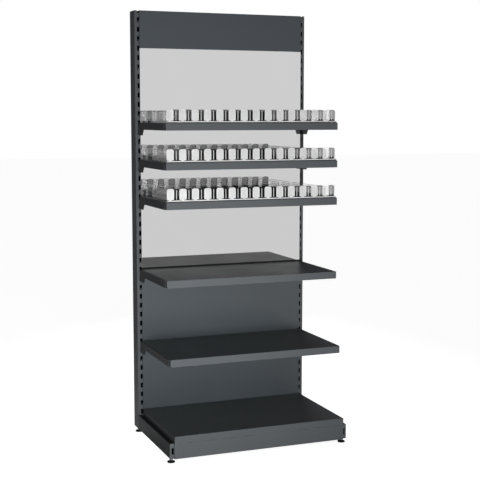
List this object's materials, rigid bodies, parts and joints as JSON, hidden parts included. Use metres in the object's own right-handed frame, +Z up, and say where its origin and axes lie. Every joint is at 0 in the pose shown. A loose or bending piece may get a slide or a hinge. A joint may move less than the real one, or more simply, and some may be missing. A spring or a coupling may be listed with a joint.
{
  "type": "wall shelving unit",
  "caption": "Free-standing steel wall shelving unit with slotted posts, a mirror back, hung shelves, clear pusher lanes on the upper shelves, a base shelf with plinth and levelling feet.",
  "frame": {"origin": "on the floor, under the middle of the overall width and depth", "axes": "+Z up along the posts, front towards -Y, right-hand side towards +X"},
  "size_m": [1.01, 0.675, 2.325],
  "materials": {
    "anthracite_steel": "fine-textured satin powder coat",
    "mirror_glass": "silvered, polished",
    "clear_plastic": "clear, polished",
    "spring_steel": "bright strip",
    "black_plastic": "moulded",
    "zinc_steel": "zinc plated"
  },
  "bodies": {
    "frame": {"left_post": "anthracite_steel", "right_post": "anthracite_steel", "upper_cross_rail": "anthracite_steel", "lower_cross_rail": "anthracite_steel", "cross_rail_bolts": "zinc_steel", "base_beam_bolts": "zinc_steel", "header_panel": "anthracite_steel", "upper_mirror_carrier": "anthracite_steel", "middle_mirror_carrier": "anthracite_steel", "lower_mirror_carrier": "anthracite_steel", "mirror_pane": "mirror_glass", "upper_back_panel": "anthracite_steel", "lower_back_panel": "anthracite_steel", "shelf_1_left_bracket": "anthracite_steel", "shelf_1_right_bracket": "anthracite_steel", "shelf_2_left_bracket": "anthracite_steel", "shelf_2_right_bracket": "anthracite_steel", "shelf_3_left_bracket": "anthracite_steel", "shelf_3_right_bracket": "anthracite_steel", "shelf_4_left_bracket": "anthracite_steel", "shelf_4_right_bracket": "anthracite_steel", "shelf_5_left_bracket": "anthracite_steel", "shelf_5_right_bracket": "anthracite_steel", "left_base_beam": "anthracite_steel", "right_base_beam": "anthracite_steel", "post_foot_plugs": "zinc_steel", "base_beam_nuts": "zinc_steel"},
    "shelf_1": {"shelf_1": "anthracite_steel", "front_rail_1": "clear_plastic", "front_stops_1": "clear_plastic", "dividers_1": "clear_plastic", "pusher_tracks_1": "clear_plastic"},
    "pushers_1": {"pushers_1": "clear_plastic", "pusher_springs_1": "spring_steel"},
    "shelf_2": {"shelf_2": "anthracite_steel", "front_rail_2": "clear_plastic", "front_stops_2": "clear_plastic", "dividers_2": "clear_plastic", "pusher_tracks_2": "clear_plastic"},
    "pushers_2": {"pushers_2": "clear_plastic", "pusher_springs_2": "spring_steel"},
    "shelf_3": {"shelf_3": "anthracite_steel", "front_rail_3": "clear_plastic", "front_stops_3": "clear_plastic", "dividers_3": "clear_plastic", "pusher_tracks_3": "clear_plastic"},
    "pushers_3": {"pushers_3": "clear_plastic", "pusher_springs_3": "spring_steel"},
    "shelf_4": {"shelf_4": "anthracite_steel"},
    "shelf_5": {"shelf_5": "anthracite_steel"},
    "base_shelf": {"base_shelf": "anthracite_steel"},
    "plinth": {"plinth": "anthracite_steel"},
    "front_left_foot": {"front_left_foot_pad": "black_plastic", "front_left_foot_stem": "zinc_steel"},
    "front_right_foot": {"front_right_foot_pad": "black_plastic", "front_right_foot_stem": "zinc_steel"},
    "rear_left_foot": {"rear_left_foot_pad": "black_plastic", "rear_left_foot_stem": "zinc_steel"},
    "rear_right_foot": {"rear_right_foot_pad": "black_plastic", "rear_right_foot_stem": "zinc_steel"}
  },
  "joints": [
    {"name": "shelf_1_lift", "type": "slide", "parent": "frame", "child": "shelf_1", "axis": [0, 0, 1], "range_m": [0, 0.045]},
    {"name": "shelf_2_lift", "type": "slide", "parent": "frame", "child": "shelf_2", "axis": [0, 0, 1], "range_m": [0, 0.045]},
    {"name": "shelf_3_lift", "type": "slide", "parent": "frame", "child": "shelf_3", "axis": [0, 0, 1], "range_m": [0, 0.045]},
    {"name": "shelf_4_lift", "type": "slide", "parent": "frame", "child": "shelf_4", "axis": [0, 0, 1], "range_m": [0, 0.045]},
    {"name": "shelf_5_lift", "type": "slide", "parent": "frame", "child": "shelf_5", "axis": [0, 0, 1], "range_m": [0, 0.045]},
    {"name": "pushers_1_slide", "type": "slide", "parent": "shelf_1", "child": "pushers_1", "axis": [0, 1, 0], "range_m": [0, 0.4], "stiffness_N_per_m": 60, "springref_m": -1},
    {"name": "pushers_2_slide", "type": "slide", "parent": "shelf_2", "child": "pushers_2", "axis": [0, 1, 0], "range_m": [0, 0.4], "stiffness_N_per_m": 60, "springref_m": -1},
    {"name": "pushers_3_slide", "type": "slide", "parent": "shelf_3", "child": "pushers_3", "axis": [0, 1, 0], "range_m": [0, 0.4], "stiffness_N_per_m": 60, "springref_m": -1},
    {"name": "base_shelf_lift", "type": "slide", "parent": "frame", "child": "base_shelf", "axis": [0, 0, 1], "range_m": [0, 0.06]},
    {"name": "plinth_pull", "type": "slide", "parent": "frame", "child": "plinth", "axis": [0, -1, 0], "range_m": [0, 0.08]},
    {"name": "front_left_foot_level", "type": "slide", "parent": "frame", "child": "front_left_foot", "axis": [0, 0, 1], "range_m": [-0.015, 0.006]},
    {"name": "front_right_foot_level", "type": "slide", "parent": "frame", "child": "front_right_foot", "axis": [0, 0, 1], "range_m": [-0.015, 0.006]},
    {"name": "rear_left_foot_level", "type": "slide", "parent": "frame", "child": "rear_left_foot", "axis": [0, 0, 1], "range_m": [-0.015, 0.006]},
    {"name": "rear_right_foot_level", "type": "slide", "parent": "frame", "child": "rear_right_foot", "axis": [0, 0, 1], "range_m": [-0.015, 0.006]}
  ]
}
